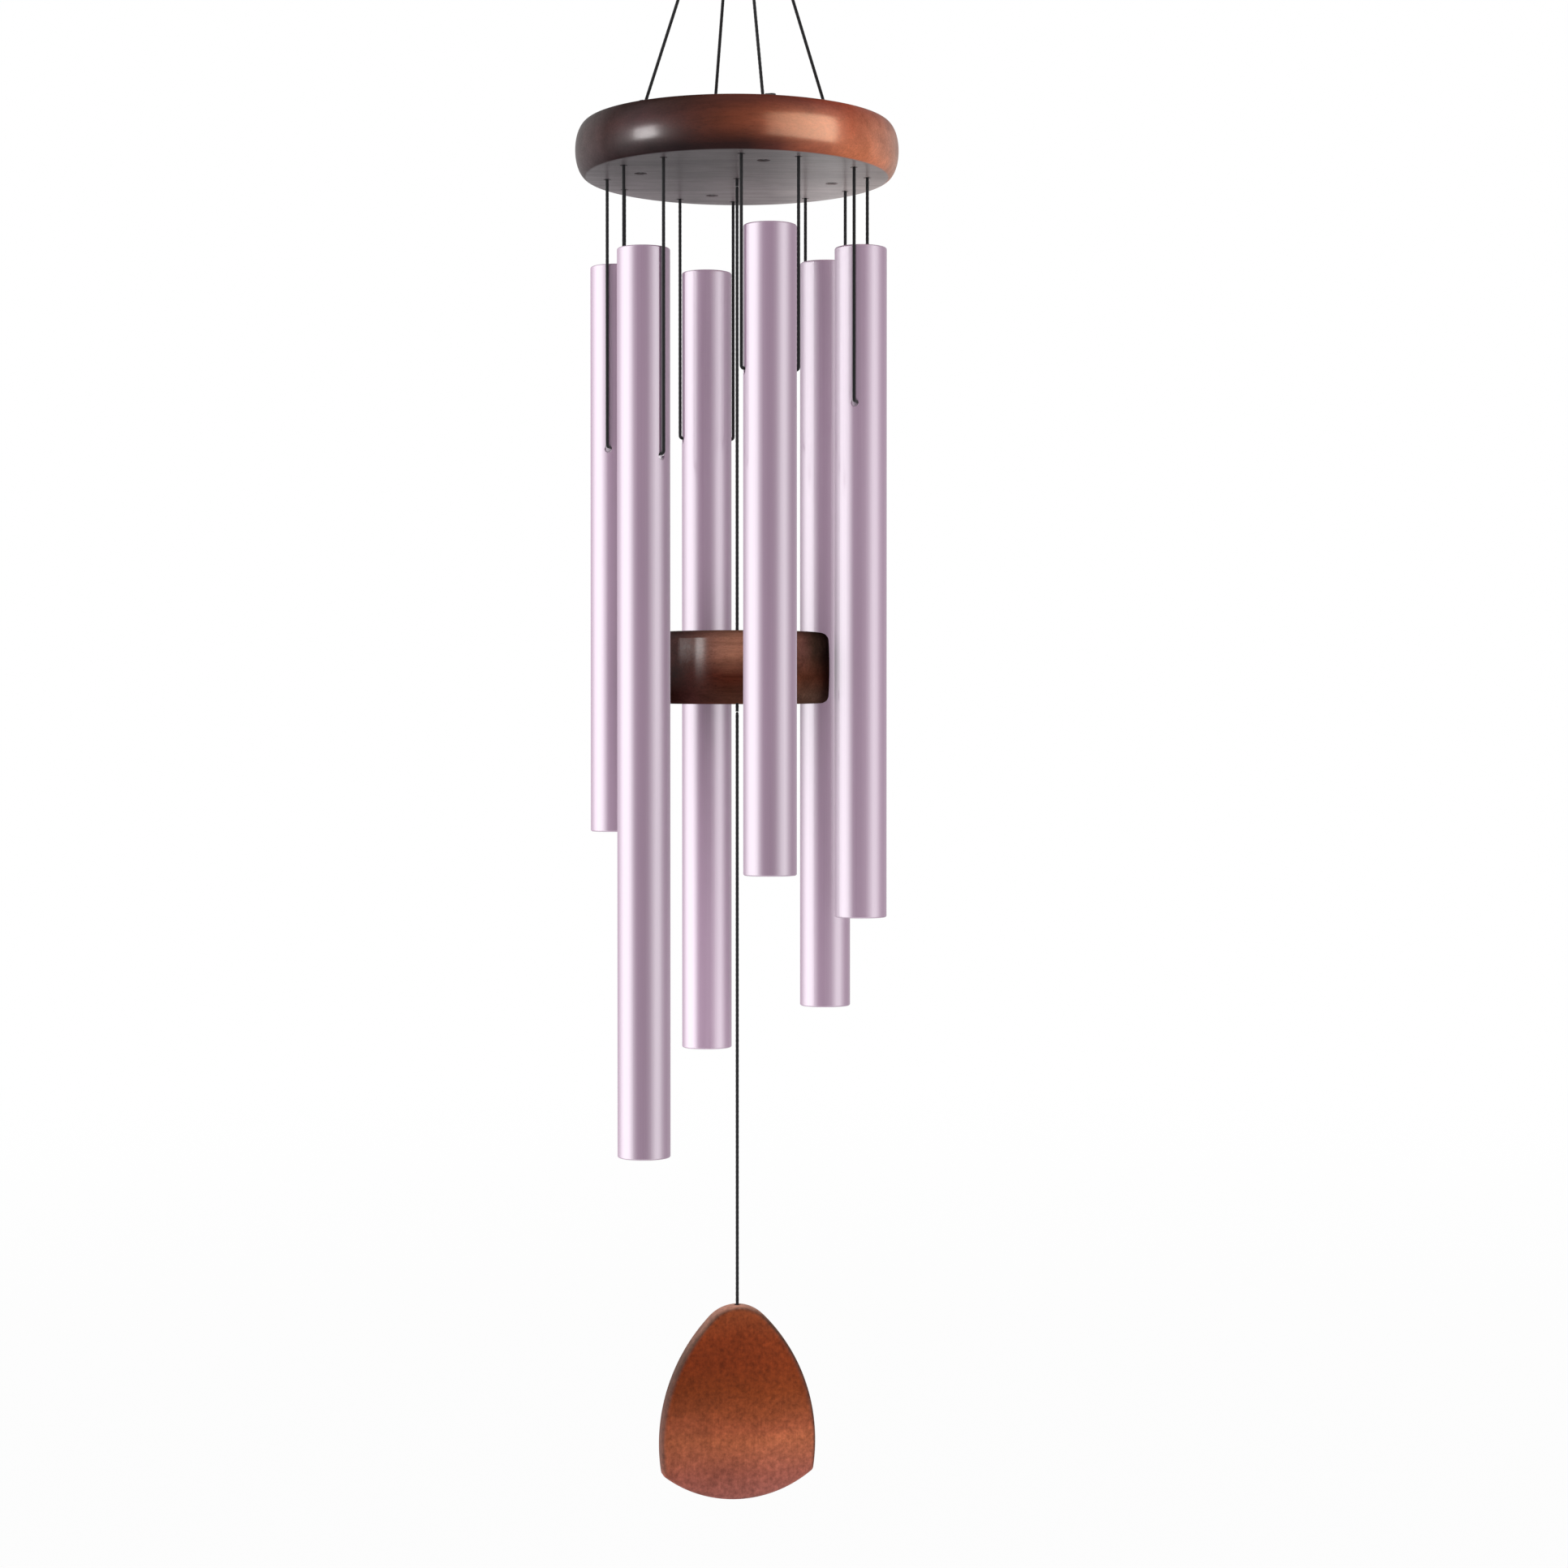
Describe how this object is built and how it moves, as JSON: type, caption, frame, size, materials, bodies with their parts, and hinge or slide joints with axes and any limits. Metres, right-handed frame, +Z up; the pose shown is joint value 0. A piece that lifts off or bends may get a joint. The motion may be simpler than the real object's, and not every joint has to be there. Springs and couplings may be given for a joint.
{
  "type": "wind chime",
  "caption": "Hanging wind chime: tuned aluminium tubes round a wooden clapper below a round wooden disc, with a wooden wind sail.",
  "frame": {"origin": "centre of the hanging ring", "axes": "+Z up along the chime's axis, -Y the front, +X to the right as seen from the front; the ring lies in the XZ plane"},
  "size_m": [0.1588, 0.1588, 0.8653],
  "materials": {
    "ring_steel": "satin round wire with a butt weld",
    "cord": "braided black polyester cord, matt",
    "disc_wood": "red-brown stain under a satin coat",
    "tube_aluminium": "lavender anodised, satin, fine drawn lines",
    "clapper_wood": "dark brown stain under a satin coat",
    "sail_wood": "red-brown stain under a satin coat, fine speckled grain"
  },
  "bodies": {
    "hanger": {"hanging_ring": "ring_steel"},
    "hitch": {"ring_hitch": "cord"},
    "canopy": {"gather_knot": "cord", "suspension_cord_1": "cord", "suspension_cord_2": "cord", "suspension_cord_3": "cord", "suspension_cord_4": "cord", "top_disc": "disc_wood", "tube_tie_1": "cord", "tube_tie_2": "cord", "tube_tie_3": "cord", "tube_tie_4": "cord", "tube_tie_5": "cord", "tube_tie_6": "cord", "center_tie": "cord"},
    "cord_1": {"tube_cord_1": "cord"},
    "tube_1": {"tube_1": "tube_aluminium"},
    "cord_2": {"tube_cord_2": "cord"},
    "tube_2": {"tube_2": "tube_aluminium"},
    "cord_3": {"tube_cord_3": "cord"},
    "tube_3": {"tube_3": "tube_aluminium"},
    "cord_4": {"tube_cord_4": "cord"},
    "tube_4": {"tube_4": "tube_aluminium"},
    "cord_5": {"tube_cord_5": "cord"},
    "tube_5": {"tube_5": "tube_aluminium"},
    "cord_6": {"tube_cord_6": "cord"},
    "tube_6": {"tube_6": "tube_aluminium"},
    "clapper_line_top": {"clapper_cord_top": "cord"},
    "clapper_line": {"clapper_cord": "cord"},
    "clapper": {"clapper": "clapper_wood"},
    "sail_line_top": {"sail_cord_top": "cord"},
    "sail_line": {"sail_cord": "cord"},
    "sail_line_end": {"sail_cord_end": "cord"},
    "sail": {"sail_tie": "cord", "wind_sail": "sail_wood"}
  },
  "joints": [
    {"name": "hitch_slide", "type": "hinge", "parent": "hanger", "child": "hitch", "pos_m": [0, 0, 0], "axis": [0, 1, 0], "range_deg": [-15, 15]},
    {"name": "canopy_swing", "type": "hinge", "parent": "hitch", "child": "canopy", "pos_m": [0, 0, -0.012], "axis": [1, 0, 0], "range_deg": [-20, 20]},
    {"name": "cord_1_swing", "type": "hinge", "parent": "canopy", "child": "cord_1", "pos_m": [-0.06045, 0.01586, -0.201], "axis": [0.2538, 0.9673, 0], "range_deg": [-0.85, 15]},
    {"name": "tube_1_rock", "type": "hinge", "parent": "cord_1", "child": "tube_1", "pos_m": [-0.06045, 0.01586, -0.33225], "axis": [-0.2538, -0.9673, 0], "range_deg": [-12, 1.4]},
    {"name": "cord_2_swing", "type": "hinge", "parent": "canopy", "child": "cord_2", "pos_m": [-0.04396, -0.04442, -0.201], "axis": [-0.7108, 0.7034, 0], "range_deg": [-0.85, 15]},
    {"name": "tube_2_rock", "type": "hinge", "parent": "cord_2", "child": "tube_2", "pos_m": [-0.04396, -0.04442, -0.3411], "axis": [0.7108, -0.7034, 0], "range_deg": [-12, 1.4]},
    {"name": "cord_3_swing", "type": "hinge", "parent": "canopy", "child": "cord_3", "pos_m": [-0.01649, 0.06028, -0.201], "axis": [0.9646, 0.2639, 0], "range_deg": [-0.85, 15]},
    {"name": "tube_3_rock", "type": "hinge", "parent": "cord_3", "child": "tube_3", "pos_m": [-0.01649, 0.06028, -0.32277], "axis": [-0.9646, -0.2639, 0], "range_deg": [-12, 1.4]},
    {"name": "cord_4_swing", "type": "hinge", "parent": "canopy", "child": "cord_4", "pos_m": [0.01649, -0.06028, -0.201], "axis": [0.9646, 0.2639, 0], "range_deg": [-15, 0.85]},
    {"name": "tube_4_rock", "type": "hinge", "parent": "cord_4", "child": "tube_4", "pos_m": [0.01649, -0.06028, -0.30192], "axis": [-0.9646, -0.2639, 0], "range_deg": [-1.4, 12]},
    {"name": "cord_5_swing", "type": "hinge", "parent": "canopy", "child": "cord_5", "pos_m": [0.04396, 0.04442, -0.201], "axis": [0.7108, -0.7034, 0], "range_deg": [-0.85, 15]},
    {"name": "tube_5_rock", "type": "hinge", "parent": "cord_5", "child": "tube_5", "pos_m": [0.04396, 0.04442, -0.31889], "axis": [-0.7108, 0.7034, 0], "range_deg": [-12, 1.4]},
    {"name": "cord_6_swing", "type": "hinge", "parent": "canopy", "child": "cord_6", "pos_m": [0.06045, -0.01586, -0.201], "axis": [0.2538, 0.9673, 0], "range_deg": [-15, 0.85]},
    {"name": "tube_6_rock", "type": "hinge", "parent": "cord_6", "child": "tube_6", "pos_m": [0.06045, -0.01586, -0.31312], "axis": [-0.2538, -0.9673, 0], "range_deg": [-1.4, 12]},
    {"name": "clapper_swing_x", "type": "hinge", "parent": "canopy", "child": "clapper_line_top", "pos_m": [0, 0, -0.201], "axis": [1, 0, 0], "range_deg": [-0.85, 0.85]},
    {"name": "clapper_swing_y", "type": "hinge", "parent": "clapper_line_top", "child": "clapper_line", "pos_m": [0, 0, -0.2056], "axis": [0, 1, 0], "range_deg": [-0.85, 0.85]},
    {"name": "clapper_spin", "type": "hinge", "parent": "clapper_line", "child": "clapper", "pos_m": [0, 0, -0.45885], "axis": [0, 0, 1], "continuous": true},
    {"name": "sail_swing_x", "type": "hinge", "parent": "clapper_line", "child": "sail_line_top", "pos_m": [0, 0, -0.4593], "axis": [1, 0, 0], "range_deg": [-12, 12]},
    {"name": "sail_swing_y", "type": "hinge", "parent": "sail_line_top", "child": "sail_line", "pos_m": [0, 0, -0.4639], "axis": [0, 1, 0], "range_deg": [-12, 12]},
    {"name": "sail_twist", "type": "hinge", "parent": "sail_line", "child": "sail_line_end", "pos_m": [0, 0, -0.7505], "axis": [0, 0, 1], "range_deg": [-180, 180]},
    {"name": "sail_nod", "type": "hinge", "parent": "sail_line_end", "child": "sail", "pos_m": [0, 0, -0.756], "axis": [0.9781, 0.2079, 0], "range_deg": [-25, 25]}
  ]
}
